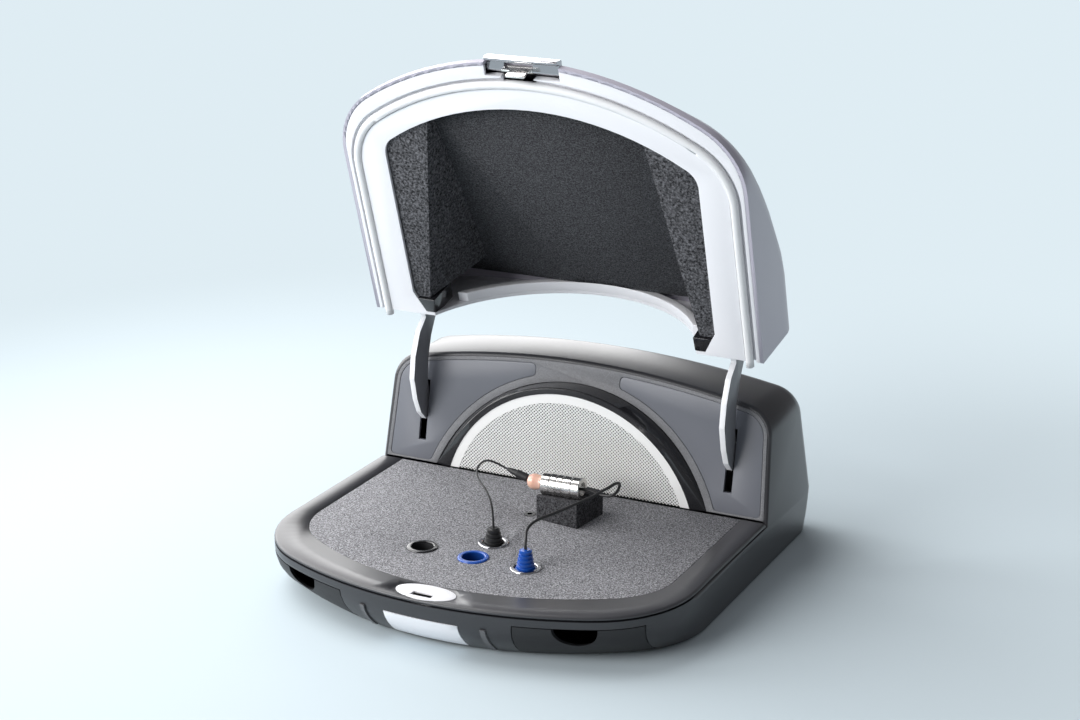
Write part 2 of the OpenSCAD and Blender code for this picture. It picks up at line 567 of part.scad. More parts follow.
// Plan outline that runs beside the gasket's middle line.
module gasket_2d(out) polygon(d_outline(lid_w/2 - gasket_in + out, lid_d - gasket_front + out,
    235 + out, 50 + out, lid_y0, lid_y0 - 30));
gasket_z = lid_z + 0.5;
channel_top = gasket_z + gasket_r + 0.05;
module channel_band(z0, z1, out, in) translate([0, 0, z0]) linear_extrude(z1 - z0) difference() {
    gasket_2d(out);
    gasket_2d(in);
}
module lid_flange() color("#f6f6f8") swing() difference() {
    union() {
        intersection() {
            channel_band(lid_z, channel_top + 2, 7, -gasket_r - 2);
            translate([0, 0, lid_z]) linear_extrude(20)
                polygon([for (p = lid_ring(0, lid_wall + fit, 0)) [p[0], p[1]]]);
        }
        translate([0, 0, lid_z]) linear_extrude(2.5) difference() {
            polygon([for (p = lid_ring(0, lid_wall + fit, 0)) [p[0], p[1]]]);
            opening_2d(0);
        }
        intersection() {
            rear_slab(-lid_wall, 0);
            along_y(0, back_y) difference() {
                lid_outline_2d(lid_wall + fit);
                translate([0, drum_z]) circle(r = drum_r + 1.7, $fn = 128);
            }
        }
    }
    channel_band(lid_z - 1, channel_top, 5.5, -gasket_r - 0.2);
    // the arms pass through the rear wall, behind the flange
    for (side = [-1, 1]) translate([side*arm_x - arm_t/2 - fit, hinge_y - arm_reach - 0.5, lid_z + 11])
        cube([arm_t + 2*fit, arm_reach, 36]);
    translate([-handle_w/2 - 1, lid_y0 - lid_d - 5, lid_z - 1]) cube([handle_w + 2, 17, 10]);
    translate([-17, lid_y0 - lid_d, lid_z - 1]) cube([26, 17, 10]);
}
arch_deep = 8;
module arch_trim() color("#f6f6f8") swing() intersection() {
    rear_slab(-lid_wall - arch_deep, -lid_wall);
    along_y(0, back_y) difference() {
        translate([0, drum_z]) circle(r = drum_r + 8.7, $fn = 128);
        translate([0, drum_z]) circle(r = drum_r + 1.7, $fn = 128);
        translate([-half_w, 0]) square([body_w, lid_z + 28.3]);
    }
}
// Tube along points: each ring stands square to the route.
function unit(v) = v/norm(v);
function tangent(p, i) = unit(p[min(i + 1, len(p) - 1)] - p[max(i - 1, 0)]);
function tube_ring(c, t, r, n) =
    let (u = unit(cross(abs(t[2]) < 0.9 ? [0, 0, 1] : [0, 1, 0], t)), v = cross(t, u))
    [for (k = [0:n - 1]) c + r*(cos(360*k/n)*u + sin(360*k/n)*v)];
module tube(p, r, n = 8) loft([for (i = [0:len(p) - 1]) tube_ring(p[i], tangent(p, i), r, n)]);
function gasket_side() =
    let (p = [for (q = d_half(lid_w/2 - gasket_in, lid_d - gasket_front, 235, 50, lid_y0))
        [q[0], q[1], gasket_z]])
    concat(p, [for (s = [130, 90, 60, 40, 34]) [lid_w/2 - gasket_in, lid_y0 - s, gasket_z]]);
function flip(p) = [for (i = [len(p) - 1:-1:1]) [-p[i][0], p[i][1], p[i][2]]];
module lid_gasket() color("#f4f4f4") swing() tube(concat(flip(gasket_side()), gasket_side()), gasket_r);
// The ceiling's lower face falls from the rear to the front.
ceil_rear = [25, lid_top - 10.9];
ceil_front = [opening_d - 2, lid_brow];
module ceiling_slab(z0, z1) along_x(-half_w, half_w) polygon([
    for (p = [[-20, z0], [-20, z1], [lid_d, z1], [lid_d, z0]])
        [lid_y0 - p[0], lid_z + ceil_rear[1] + p[1]
            - (p[0] - ceil_rear[0])*(ceil_rear[1] - ceil_front[1])/(ceil_front[0] - ceil_rear[0])]]);
// The room inside the lid, in front of the arch trim.
module lid_room(h0) intersection() {
    lid_form(lid_wall + 0.5, h0, 2);
    rear_slab(-lid_d, -lid_wall - arch_deep - fit);
}
module lid_foam_top() color("#2d2f33") swing() difference() {
    intersection() {
        ceiling_slab(0, foam_t);
        lid_room(3.5);
        translate([-opening_w/2 - 1, lid_y0 - opening_d - 8, lid_z])
            cube([opening_w + 2, opening_d, tower_h]);
    }
    disc_y(0, grille_y - 3, drum_z, drum_r + 1.7, tower_d, 128);
    channel_band(lid_z, channel_top + 2 + fit, 7 + fit, -gasket_r - 2 - fit);
}
module foam_side() intersection() {
    ceiling_slab(-90, -fit);
    lid_room(2.6);
    translate([0, 0, lid_z]) hull() {
        for (h = [0.4, 80]) translate([0, 0, h]) linear_extrude(0.2) polygon([
            [opening_w/2 - 0.3, lid_y0 - 60], [opening_w/2 - 0.3, lid_y0 - 194],
            [opening_w/2 - 13.5 - 0.19*h, lid_y0 - 208], [opening_w/2 - 39.5 - 0.1*h, lid_y0 - 212],
            [opening_w/2 - 12.5 - 0.24*h, lid_y0 - 53], [opening_w/2 - 3.4, lid_y0 - 53]]);
    }
}
// A short end piece closes the foam beside each arm.
module foam_end() intersection() {
    translate([0, 0, lid_z]) linear_extrude(28) polygon([
        [opening_w/2 - 17.8, lid_y0 - 52.5], [opening_w/2 - 17, lid_y0 - lid_rear],
        [opening_w/2 - 10.2, lid_y0 - lid_rear], [opening_w/2 - 3.2, lid_y0 - 52.5]]);
    rear_slab(-60, -lid_wall - fit);
}
module foam_ends() color("#151517") swing() {
    foam_end();
    mirror([1, 0, 0]) foam_end();
}
module lid_foam_right() color("#26272a") swing() foam_side();
module lid_foam_left() color("#26272a") swing() mirror([1, 0, 0]) foam_side();
// Hinge arm in the closed position: head in the lid, gooseneck, and boss round the shaft.
// Its points are counted from the hinge.
arm_pts = [[-102.6, -51.2], [-80.6, -51.7], [-67, -49.2], [-60.6, -61.8], [-46.2, -74.6],
    [-29.9, -82.6], [-10.9, -84], [2.7, -82.3], [12.4, -77.2], [19.4, -66.2], [18.4, -48.2],
    [10.4, -24.2], [6.4, -4.2], [-6.6, -4.2], [-2.6, -24.2], [2.4, -46.2], [1.9, -58.2],
    [-4.6, -65.7], [-17.3, -64.2], [-33.9, -57.2], [-48.6, -47.2], [-60.6, -34.6], [-74.6, -31.2],
    [-98.6, -32.2], [-103.6, -38.2]];
arm_reach = 103.6;
arm_screws = [[-96.6, -42.2], [-84.6, -42.2]];
module arm(x) along_x(x - arm_t/2, x + arm_t/2) difference() {
    union() {
        translate([hinge_y, hinge_z]) offset(r = 3) offset(r = -5) offset(r = 2) polygon(arm_pts);
        translate([hinge_y, hinge_z]) circle(r = 7.5);
    }
    translate([hinge_y, hinge_z]) circle(r = shaft_r);
    for (p = arm_screws) translate([hinge_y + p[0], hinge_z + p[1]]) circle(r = 1.7);
}
module right_arm() color("#8d8f94") swing() arm(arm_x);
module left_arm() color("#8d8f94") swing() arm(-arm_x);
module hinge_shaft() color("silver") along_x(-arm_x - 10, arm_x + 10) translate([hinge_y, hinge_z])
    circle(r = shaft_r);
module lid_screws() color("silver") swing() for (side = [-1, 1], p = arm_screws)
    along_x(side*arm_x - 5, side*arm_x + 5) translate([hinge_y + p[0], hinge_z + p[1]]) circle(r = 1.6);

// Latch at the lid's apex
handle_w = 57;
pin_y = lid_y0 - lid_d + 8;
pin_z = lid_z + 5.5;
pin_r = 1.2;
module latch_pin() color("silver") swing() along_x(-handle_w/2 - 3, handle_w/2 + 3)
    translate([pin_y, pin_z]) circle(r = pin_r);
module latch_handle() color("silver") swing() difference() {
    along_x(-handle_w/2, handle_w/2) union() {
        hull() {
            translate([pin_y - 9, lid_z + 1.8]) circle(r = 1.8);
            translate([pin_y - 7.5, lid_z + 6.8]) circle(r = 1.8);
        }
        hull() {
            translate([pin_y - 7.5, lid_z + 6.8]) circle(r = 1.6);
            translate([pin_y, pin_z]) circle(r = 2.4);
        }
    }
    along_x(-50, 50) translate([pin_y, pin_z]) circle(r = pin_r + 0.05);
    translate([-15, pin_y - 5, lid_z - 1]) cube([22.5, 10, 20]);
}
module latch_hook() color("silver") swing() difference() {
    along_x(-14.6, 7.3) union() {
        translate([pin_y, pin_z]) circle(r = 2.6);
        polygon([[pin_y - 2.6, pin_z], [pin_y - 2.6, lid_z - 8], [pin_y - 2, lid_z - 8.8],
            [pin_y - 0.6, lid_z - 8.6], [pin_y - 0.4, lid_z - 5.9], [pin_y - 1.2, lid_z - 5.7],
            [pin_y - 1.2, pin_z - 2.5], [pin_y + 2, pin_z]]);
    }
    along_x(-50, 50) translate([pin_y, pin_z]) circle(r = pin_r + 0.05);
    for (x = [-15.6, 6.3]) translate([x, pin_y - 10, lid_z - 12]) cube([x < 0 ? 7.6 : 2, 20, 10.5]);
}
module thin_cord() color("#151517") tube(thin_route, thin_cord_d/2);
module thick_cord() color("#151517") tube(thick_route, thick_cord_d/2);

body_shell();
bottom_plate();
feet();
bottom_screws();
deck_frame();
deck_mat();
tower_fascia();
left_insert();
right_insert();
speaker_ring();
grille();
speaker_basket();
speaker_cone();
speaker_magnet();
left_socket_ring();
blue_socket_ring();
centre_socket_ring();
right_socket_ring();
left_socket();
blue_socket();
centre_socket();
right_socket();
reference_bush();
latch_plate();
latch_strike();
front_plate();
front_ribs();
foam_block();
coupler_body();
coupler_cap();
coupler_ring();
ear_mould();
reference_mic();
mic_tail();
black_plug();
blue_plug();
thin_cord();
thick_cord();
circuit_board();
power_inlet();
data_socket();
left_bracket();
right_bracket();
left_drawer();
right_drawer();
left_arm();
right_arm();
hinge_shaft();
lid_shell();
lid_flange();
lid_gasket();
lid_foam_top();
lid_foam_left();
lid_foam_right();
foam_ends();
arch_trim();
lid_screws();
latch_handle();
latch_hook();
latch_pin();
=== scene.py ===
# Hearing-instrument test box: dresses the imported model, adds leads, foam and fine metal,
# and sets a plain studio. Lengths are in metres unless a name ends in Mm.
import json
import math

import bpy
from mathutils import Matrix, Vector

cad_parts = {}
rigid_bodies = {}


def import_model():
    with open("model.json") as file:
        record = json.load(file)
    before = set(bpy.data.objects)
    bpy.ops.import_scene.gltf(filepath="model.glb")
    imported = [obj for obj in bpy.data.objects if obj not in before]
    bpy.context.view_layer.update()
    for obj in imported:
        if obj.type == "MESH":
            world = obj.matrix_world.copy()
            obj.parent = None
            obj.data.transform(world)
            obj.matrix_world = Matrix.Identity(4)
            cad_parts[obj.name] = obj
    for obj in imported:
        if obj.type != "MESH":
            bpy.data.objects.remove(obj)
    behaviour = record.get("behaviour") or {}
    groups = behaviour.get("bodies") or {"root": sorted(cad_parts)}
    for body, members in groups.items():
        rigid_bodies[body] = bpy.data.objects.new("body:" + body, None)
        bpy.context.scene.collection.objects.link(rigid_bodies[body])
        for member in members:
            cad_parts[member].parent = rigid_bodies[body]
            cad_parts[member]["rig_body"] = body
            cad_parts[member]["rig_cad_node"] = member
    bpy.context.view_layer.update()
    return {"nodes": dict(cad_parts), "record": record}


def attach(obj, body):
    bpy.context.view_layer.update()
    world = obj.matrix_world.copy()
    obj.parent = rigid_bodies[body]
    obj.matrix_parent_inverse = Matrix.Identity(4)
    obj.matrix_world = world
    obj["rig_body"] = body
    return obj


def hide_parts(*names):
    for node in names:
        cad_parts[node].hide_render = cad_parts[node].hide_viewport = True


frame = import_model()
nodes = frame["nodes"]
nodeBody = {n: body for body, members in frame["record"]["behaviour"]["bodies"].items() for n in members}
nodeSlot = {s["node"]: s["material_slot"] for s in frame["record"]["subparts"]}
mm = 0.001
mergeGap = 0.02 * mm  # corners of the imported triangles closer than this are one
flatAngle = 1.0  # faces that bend less than this many degrees are joined before a bevel


def clearSelection():
    if bpy.context.object and bpy.context.object.mode != "OBJECT":
        bpy.ops.object.mode_set(mode="OBJECT")
    bpy.ops.object.select_all(action="DESELECT")


def pick(obj):
    clearSelection()
    obj.select_set(True)
    bpy.context.view_layer.objects.active = obj


# The camera stands where the photograph's did.
cameraSet = {"place": (0.6783, -1.3350, 0.6512), "azimuth": 26.65, "elevation": 18.1,
             "roll": -0.16, "lens": 71.7, "sensor": 36, "farthest": 60}


def makeCamera():
    bpy.ops.object.camera_add(location=cameraSet["place"])
    camera = bpy.context.object
    camera.data.lens = cameraSet["lens"]
    camera.data.sensor_width = cameraSet["sensor"]
    camera.data.clip_end = cameraSet["farthest"]
    az = math.radians(cameraSet["azimuth"])
    el = math.radians(cameraSet["elevation"])
    look = Vector((-math.sin(az) * math.cos(el), math.cos(az) * math.cos(el), -math.sin(el)))
    camera.rotation_euler = look.to_track_quat("-Z", "Y").to_euler()
    camera.rotation_euler.rotate_axis("Z", math.radians(cameraSet["roll"]))
    bpy.context.scene.camera = camera


makeCamera()
print("camera placed")


# A socket that takes part in Python arithmetic.
class Wire:
    def __init__(self, shader, socket):
        self.shader = shader
        self.socket = socket

    def math(self, operation, other, swap=False):
        a, b = (other, self) if swap else (self, other)
        return self.shader.node("ShaderNodeMath", {"operation": operation}, {0: a, 1: b})

    def __add__(self, other):
        return self.math("ADD", other)

    __radd__ = __add__

    def __mul__(self, other):
        return self.math("MULTIPLY", other)

    __rmul__ = __mul__

    def __sub__(self, other):
        return self.math("SUBTRACT", other)

    def __rsub__(self, other):
        return self.math("SUBTRACT", other, swap=True)

    def __gt__(self, other):
        return self.math("GREATER_THAN", other)


class Shader:
    def __init__(self, name):
        self.material = bpy.data.materials.new(name)
        self.material.use_nodes = True
        self.tree = self.material.node_tree
        self.tree.nodes.clear()
        self.coords = self.node("ShaderNodeTexCoord", output="Object")

    def node(self, kind, settings=None, links=None, output=0):
        made = self.tree.nodes.new(kind)
        for key, value in (settings or {}).items():
            if key == "stops":
                ramp = made.color_ramp
                while len(ramp.elements) < len(value):
                    ramp.elements.new(0.5)
                for element, (position, colour) in zip(ramp.elements, value):
                    element.position = position
                    element.color = tuple(colour) + (1,) if len(colour) == 3 else colour
            else:
                setattr(made, key, value)
        for key, value in (links or {}).items():
            self.feed(made.inputs[key], value)
        return Wire(self, made.outputs[output])

    def feed(self, socket, value):
        if isinstance(value, Wire):
            self.tree.links.new(value.socket, socket)
        elif isinstance(value, (tuple, list)) and len(value) == 3 and len(socket.default_value) == 4:
            socket.default_value = tuple(value) + (1,)
        else:
            socket.default_value = value

    def stretched(self, scale):
        return self.node("ShaderNodeMapping", {}, {"Vector": self.coords, "Scale": scale})

    def noise(self, sizeMm, detail=2.0, rough=0.5, coords=None):
        return self.node("ShaderNodeTexNoise", {"noise_dimensions": "3D"}, {
            "Vector": coords or self.coords, "Scale": 1000 / sizeMm, "Detail": detail, "Roughness": rough})

    def cells(self, sizeMm, feature="F1"):
        return self.node("ShaderNodeTexVoronoi", {"feature": feature}, {
            "Vector": self.coords, "Scale": 1000 / sizeMm})

    def ramp(self, factor, stops):
        return self.node("ShaderNodeValToRGB", {"stops": stops}, {"Fac": factor})

    def mix(self, factor, a, b):
        return self.node("ShaderNodeMix", {"data_type": "RGBA"}, {0: factor, 6: a, 7: b}, output=2)

    def bump(self, height, depthMm):
        return self.node("ShaderNodeBump", {}, {"Height": height, "Distance": depthMm * mm, "Strength": 1.0})

    def finish(self, **inputs):
        body = self.tree.nodes.new("ShaderNodeBsdfPrincipled")
        for key, value in inputs.items():
            self.feed(body.inputs[key.replace("_", " ")], value)
        out = self.tree.nodes.new("ShaderNodeOutputMaterial")
        self.tree.links.new(body.outputs[0], out.inputs[0])
        return self.material


def mouldedPlastic(name, colour, roughness, grainMm=0.5, grainDepth=0.02, vary=0.06,
                   coat=0.0, coatRough=0.1):
    s = Shader(name)
    cloud = s.noise(45, 3)
    fine = s.noise(grainMm, 2, 0.6)
    tone = s.mix(cloud, tuple(c * (1 - vary) for c in colour), tuple(c * (1 + vary) for c in colour))
    return s.finish(Base_Color=tone, Roughness=roughness + 0.08 * (cloud - 0.5),
                    Normal=s.bump(fine, grainDepth), Coat_Weight=coat, Coat_Roughness=coatRough)


def leatherGrain(name, colour, grainMm, depthMm, roughness):
    s = Shader(name)
    warp = s.noise(3.0, 2)
    cell = s.cells(grainMm, "DISTANCE_TO_EDGE")
    fine = s.noise(0.4, 2)
    pebble = s.node("ShaderNodeMapRange", {}, {"Value": cell, "From Min": 0.0, "From Max": 0.35})
    height = pebble * 0.8 + fine * 0.2
    # The tone is painted darker in the grain's creases and lighter on its pebble tops, as painted shade and
    # painted light; the warp noise adds tone that varies at random.
    tone = s.mix(pebble * 0.5 + warp * 0.4, tuple(c * 0.6 for c in colour), tuple(c * 1.25 for c in colour))
    return s.finish(Base_Color=tone, Roughness=roughness - 0.1 * pebble, Normal=s.bump(height, depthMm))


def speckledFoam(name, dark, pale, cellMm, paleShare, depthMm):
    s = Shader(name)
    grains = s.noise(cellMm, 4, 0.75)
    flecks = s.cells(cellMm * 0.9)
    big = s.noise(60, 2)
    between = tuple((d + p) / 2.6 for d, p in zip(dark, pale))
    speckle = s.ramp(grains + 0.12 * (flecks - 0.5),
                     [(0.36, dark), (0.5, between), (0.5 + paleShare, pale)])
    tone = s.mix(big * 0.2, speckle, dark)
    return s.finish(Base_Color=tone, Roughness=0.95, Specular_IOR_Level=0.2,
                    Normal=s.bump(grains + flecks * 0.5, depthMm))


def turnedSteel(name, colour, roughness, stretch, lineMm=0.25, depth=0.01):
    s = Shader(name)
    lines = s.noise(lineMm, 3, 0.7, s.stretched(stretch))
    cloud = s.noise(12, 2)
    tone = s.mix(lines * 0.6 + cloud * 0.3, tuple(c * 0.86 for c in colour), colour)
    return s.finish(Base_Color=tone, Metallic=1.0, Roughness=roughness + 0.05 * (lines - 0.5),
                    Normal=s.bump(lines, depth))


def polishedChrome(name, colour):
    s = Shader(name)
    smear = s.noise(14, 3)
    tone = s.mix(smear, tuple(c * 0.9 for c in colour), colour)
    return s.finish(Base_Color=tone, Metallic=1.0, Roughness=0.07 + 0.06 * smear,
                    Normal=s.bump(s.noise(6, 2), 0.0006))


# Narrow faces of an arm are white, its flat sides grey.
def edgedArm(name):
    s = Shader(name)
    normal = s.node("ShaderNodeTexCoord", output="Normal")
    x = s.node("ShaderNodeSeparateXYZ", {}, {"Vector": normal}, output=0)
    side = s.node("ShaderNodeMath", {"operation": "ABSOLUTE"}, {0: x}) > 0.6
    fine = s.noise(0.5, 2)
    tone = s.mix(side, (0.84, 0.84, 0.86), (0.20, 0.203, 0.22))
    return s.finish(Base_Color=tone, Roughness=0.42 - 0.06 * side, Normal=s.bump(fine, 0.01))


def fleshAcrylic(name):
    s = Shader(name)
    cloud = s.noise(5, 3)
    veins = s.noise(1.2, 2)
    tone = s.mix(cloud, (0.80, 0.42, 0.32), (0.90, 0.56, 0.45))
    return s.finish(Base_Color=tone, Roughness=0.14 + 0.1 * veins, Subsurface_Weight=0.15,
                    Coat_Weight=0.6, Coat_Roughness=0.05, Normal=s.bump(cloud, 0.08))


def circuitLacquer(name):
    s = Shader(name)
    traces = s.node("ShaderNodeTexBrick", {}, {"Vector": s.coords, "Scale": 160.0, "Mortar Size": 0.03,
                    "Color1": (0.01, 0.13, 0.05), "Color2": (0.015, 0.17, 0.06), "Mortar": (0.05, 0.3, 0.12)})
    return s.finish(Base_Color=traces, Roughness=0.3 + 0.1 * s.noise(3), Normal=s.bump(s.noise(2), 0.02))


# Finishes by material slot. After a moulded colour come roughness, grain size and grain depth, both in mm.
palette = {
    "shell_grey": mouldedPlastic("satinShell", (0.024, 0.024, 0.028), 0.34, 0.35, 0.010,
                                 coat=0.35, coatRough=0.3),
    "frame_grey": mouldedPlastic("satinRim", (0.036, 0.036, 0.041), 0.42, 0.35, 0.010,
                                 coat=0.4, coatRough=0.36),
    "fascia_grey": leatherGrain("grainedFascia", (0.19, 0.192, 0.205), 1.1, 0.10, 0.55),
    "insert_grey": mouldedPlastic("satinInsert", (0.135, 0.142, 0.165), 0.40, 0.3, 0.008),
    "mat_foam": speckledFoam("deckFoam", (0.050, 0.050, 0.056), (0.60, 0.60, 0.63), 1.15, 0.17, 0.45),
    "lid_foam": speckledFoam("lidFoam", (0.008, 0.008, 0.009), (0.20, 0.20, 0.215), 1.9, 0.16, 0.8),
    "black_plastic": mouldedPlastic("glossBlack", (0.012, 0.012, 0.014), 0.2, 0.6, 0.006,
                                    vary=0.04, coat=0.5, coatRough=0.08),
    "matte_black": mouldedPlastic("matteBlack", (0.016, 0.016, 0.018), 0.5, 0.4, 0.02),
    "white_plastic": mouldedPlastic("satinWhite", (0.80, 0.80, 0.83), 0.34, 0.4, 0.006, vary=0.01),
    "lilac_white": mouldedPlastic("lilacShell", (0.46, 0.44, 0.51), 0.32, 0.4, 0.006, vary=0.02),
    "white_rubber": mouldedPlastic("whiteBead", (0.78, 0.78, 0.79), 0.5, 0.4, 0.01, vary=0.01),
    "blue_plastic": mouldedPlastic("royalBlue", (0.008, 0.075, 0.38), 0.26, 0.5, 0.01,
                                   vary=0.05, coat=0.3, coatRough=0.1),
    "rubber_black": mouldedPlastic("blackRubber", (0.014, 0.014, 0.015), 0.42, 0.4, 0.03),
    "steel": turnedSteel("turnedSteel", (0.86, 0.84, 0.81), 0.2, (1, 1, 1), lineMm=0.5, depth=0.0006),
    "chrome": polishedChrome("brightChrome", (0.42, 0.42, 0.44)),
    "grille_metal": mouldedPlastic("paleSheet", (0.86, 0.86, 0.85), 0.38, 0.4, 0.005, vary=0.01),
    "arm_grey": edgedArm("edgedArm"),
    "pink": fleshAcrylic("fleshAcrylic"),
    "magnet": turnedSteel("magnetPot", (0.2, 0.2, 0.21), 0.4, (1, 1, 4)),
    "board_green": circuitLacquer("boardLacquer"),
}
# Finishes of single pieces that share a slot with others
ribGrey = mouldedPlastic("ribGrey", (0.12, 0.12, 0.125), 0.45)
ceilingFoam = speckledFoam("ceilingFoam", (0.012, 0.012, 0.014), (0.115, 0.118, 0.128), 1.2, 0.2, 0.5)
blockFoam = speckledFoam("blockFoam", (0.006, 0.006, 0.007), (0.13, 0.13, 0.14), 1.5, 0.2, 0.6)
wellBlue = mouldedPlastic("wellBlue", (0.006, 0.04, 0.20), 0.3)
sleekBlack = mouldedPlastic("sleekBlack", (0.010, 0.010, 0.012), 0.16, 0.6, 0.004,
                            vary=0.03, coat=0.6, coatRough=0.06)
print("materials made")

for name, node in nodes.items():
    node.data.materials.clear()
    node.data.materials.append(palette[nodeSlot[name]])
nodes["front_ribs"].data.materials[0] = ribGrey
nodes["blue_socket"].data.materials[0] = wellBlue


def settle(obj, body, material):
    pick(obj)
    bpy.ops.object.transform_apply(location=True, rotation=True, scale=True)
    obj.data.materials.clear()
    obj.data.materials.append(material)
    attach(obj, body)
    return obj


def finishModifiers(obj):
    pick(obj)
    for modifier in list(obj.modifiers):
        bpy.ops.object.modifier_apply(modifier=modifier.name)


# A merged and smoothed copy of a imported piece, with softened edges where it has a bevel.
def refined(node, name, bevelMm, angle, material=None, pad=None):
    pick(nodes[node])
    bpy.ops.object.duplicate()
    copy = bpy.context.object
    copy.name = name
    copy.parent = None
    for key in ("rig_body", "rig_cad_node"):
        if key in copy:
            del copy[key]
    bpy.ops.object.mode_set(mode="EDIT")
    bpy.ops.mesh.select_all(action="SELECT")
    bpy.ops.mesh.remove_doubles(threshold=mergeGap)
    if bevelMm:
        bpy.ops.mesh.dissolve_limited(angle_limit=math.radians(flatAngle))
    bpy.ops.object.mode_set(mode="OBJECT")
    if bevelMm:
        soften = copy.modifiers.new("soften", "BEVEL")
        soften.width = bevelMm * mm
        soften.segments = 3
        soften.limit_method = "ANGLE"
        soften.angle_limit = math.radians(angle)
        soften.harden_normals = False
        finishModifiers(copy)
    pick(copy)
    bpy.ops.object.shade_smooth_by_angle(angle=math.radians(angle))
    settle(copy, nodeBody[node], material or palette[nodeSlot[node]])
    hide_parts(node)
    return copy


leads = {
    "thin": {"diameter": 1.6 * mm, "routeMm": [
        (0.7, -60.7, 52), (0.6, -60.6, 55), (0, -60, 60), (-1.5, -58.5, 66), (-5, -55.5, 72),
        (-11, -50.5, 76), (-18, -45, 78.3), (-24, -38.5, 79.6), (-28.5, -31, 80.6), (-31.5, -23, 81),
        (-33.5, -14.5, 80.6), (-34.3, -6.5, 79.4), (-33.4, -0.5, 77.4), (-29.5, 3.6, 74.6),
        (-25.2, 4.4, 72.6), (-21.3, 4.4, 71.4)]},
    "thick": {"diameter": 2.2 * mm, "routeMm": [
        (42.2, -91, 54.5), (41.9, -90.6, 57.5), (40.5, -87.2, 61.3), (37.8, -80.6, 63.7),
        (37.4, -73.2, 65.7), (39.6, -64.2, 67), (44.6, -56, 68.3), (50.4, -47.5, 70.2), (57.1, -39, 73),
        (63, -31.5, 75.4), (68.4, -24.5, 78.2), (72.4, -18, 80.4), (75, -11, 81.6), (75.2, -5, 79.4),
        (73.2, -1.4, 74.6), (69.8, 1.4, 69.2), (65, 3.6, 65.2), (59, 4.8, 63.6), (53, 5.4, 64),
        (47, 5.6, 65.2), (38.2, 5.5, 65.3)]},
}


def makeLead(name, node, spec):
    curve = bpy.data.curves.new(name, "CURVE")
    curve.dimensions = "3D"
    curve.bevel_depth = spec["diameter"] / 2
    curve.bevel_resolution = 5
    curve.resolution_u = 10
    curve.use_fill_caps = True
    spline = curve.splines.new("BEZIER")
    spline.bezier_points.add(len(spec["routeMm"]) - 1)
    for point, place in zip(spline.bezier_points, spec["routeMm"]):
        point.co = Vector(place) * mm
        point.handle_left_type = point.handle_right_type = "AUTO"
    lead = bpy.data.objects.new(name, curve)
    bpy.context.scene.collection.objects.link(lead)
    lead.data.materials.append(palette["rubber_black"])
    bpy.context.view_layer.update()
    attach(lead, "root")
    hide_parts(node)
    print(name, "length", round(spline.calc_length(), 4))


makeLead("thinLead", "thin_cord", leads["thin"])
makeLead("thickLead", "thick_cord", leads["thick"])

# Bevels are in mm, edges sharper than the angle stay sharp, and foam pieces also carry a pad.
refineSet = {
    "body_shell": {"name": "outerShell", "bevelMm": 0, "angle": 28},
    "deck_frame": {"name": "deckRim", "bevelMm": 0, "angle": 35},
    "lid_shell": {"name": "lidDome", "bevelMm": 0, "angle": 30},
    "tower_fascia": {"name": "fascia", "bevelMm": 0.3, "angle": 35},
    "left_insert": {"name": "leftPanel", "bevelMm": 0.25, "angle": 35},
    "right_insert": {"name": "rightPanel", "bevelMm": 0.25, "angle": 35},
    "speaker_ring": {"name": "drum", "bevelMm": 0, "angle": 30},
    "lid_flange": {"name": "lidLip", "bevelMm": 0.5, "angle": 35},
    "lid_gasket": {"name": "gasketBead", "bevelMm": 0, "angle": 60},
    "arch_trim": {"name": "archLip", "bevelMm": 0.6, "angle": 35},
    "left_arm": {"name": "leftGooseneck", "bevelMm": 0.4, "angle": 40},
    "right_arm": {"name": "rightGooseneck", "bevelMm": 0.4, "angle": 40},
    "latch_handle": {"name": "handleBar", "bevelMm": 0.25, "angle": 40},
    "latch_hook": {"name": "hookBlade", "bevelMm": 0.2, "angle": 40},
    "latch_plate": {"name": "latchOval", "bevelMm": 0.25, "angle": 40},
    "front_plate": {"name": "blankPlate", "bevelMm": 0, "angle": 35},
    "left_drawer": {"name": "leftTray", "bevelMm": 0, "angle": 35},
    "right_drawer": {"name": "rightTray", "bevelMm": 0, "angle": 35},
    "deck_mat": {"name": "deckPad", "bevelMm": 0.5, "angle": 40, "pad": 1.0},
    "foam_block": {"name": "cradleFoam", "bevelMm": 0.5, "angle": 30, "material": blockFoam, "pad": 1.0},
    "lid_foam_left": {"name": "leftLining", "bevelMm": 1.0, "angle": 30, "pad": 1.0},
    "lid_foam_right": {"name": "rightLining", "bevelMm": 1.0, "angle": 30, "pad": 1.0},
    "lid_foam_top": {"name": "ceilingLining", "bevelMm": 0, "angle": 30, "material": ceilingFoam, "pad": 1.0},
    "foam_ends": {"name": "foamEnds", "bevelMm": 0.4, "angle": 30, "material": sleekBlack},
}
for node, values in refineSet.items():
    refined(node, **values)
print("packed pieces refined")

# Perforated sheet: the holes' centres lie in rows, each half a pitch beside the next.
grilleSet = {"radiusMm": 108.0, "centreZMm": 6.9, "fieldMm": 101.5, "frontYMm": 62.3, "thickMm": 0.8,
             "pitchMm": 2.8, "rowMm": 1.4, "holeMm": 1.45, "baseZMm": 40.2, "belowBaseMm": 0.4,
             "overlapMm": 0.7, "proudMm": 0.12, "steps": 96}


# A new object from its points in mm, left in edit mode with all of it selected.
def meshFrom(name, pointsMm, faces):
    mesh = bpy.data.meshes.new(name)
    mesh.from_pydata([tuple(v * mm for v in p) for p in pointsMm], [], faces)
    obj = bpy.data.objects.new(name, mesh)
    bpy.context.scene.collection.objects.link(obj)
    pick(obj)
    bpy.ops.object.mode_set(mode="EDIT")
    bpy.ops.mesh.select_all(action="SELECT")
    return obj


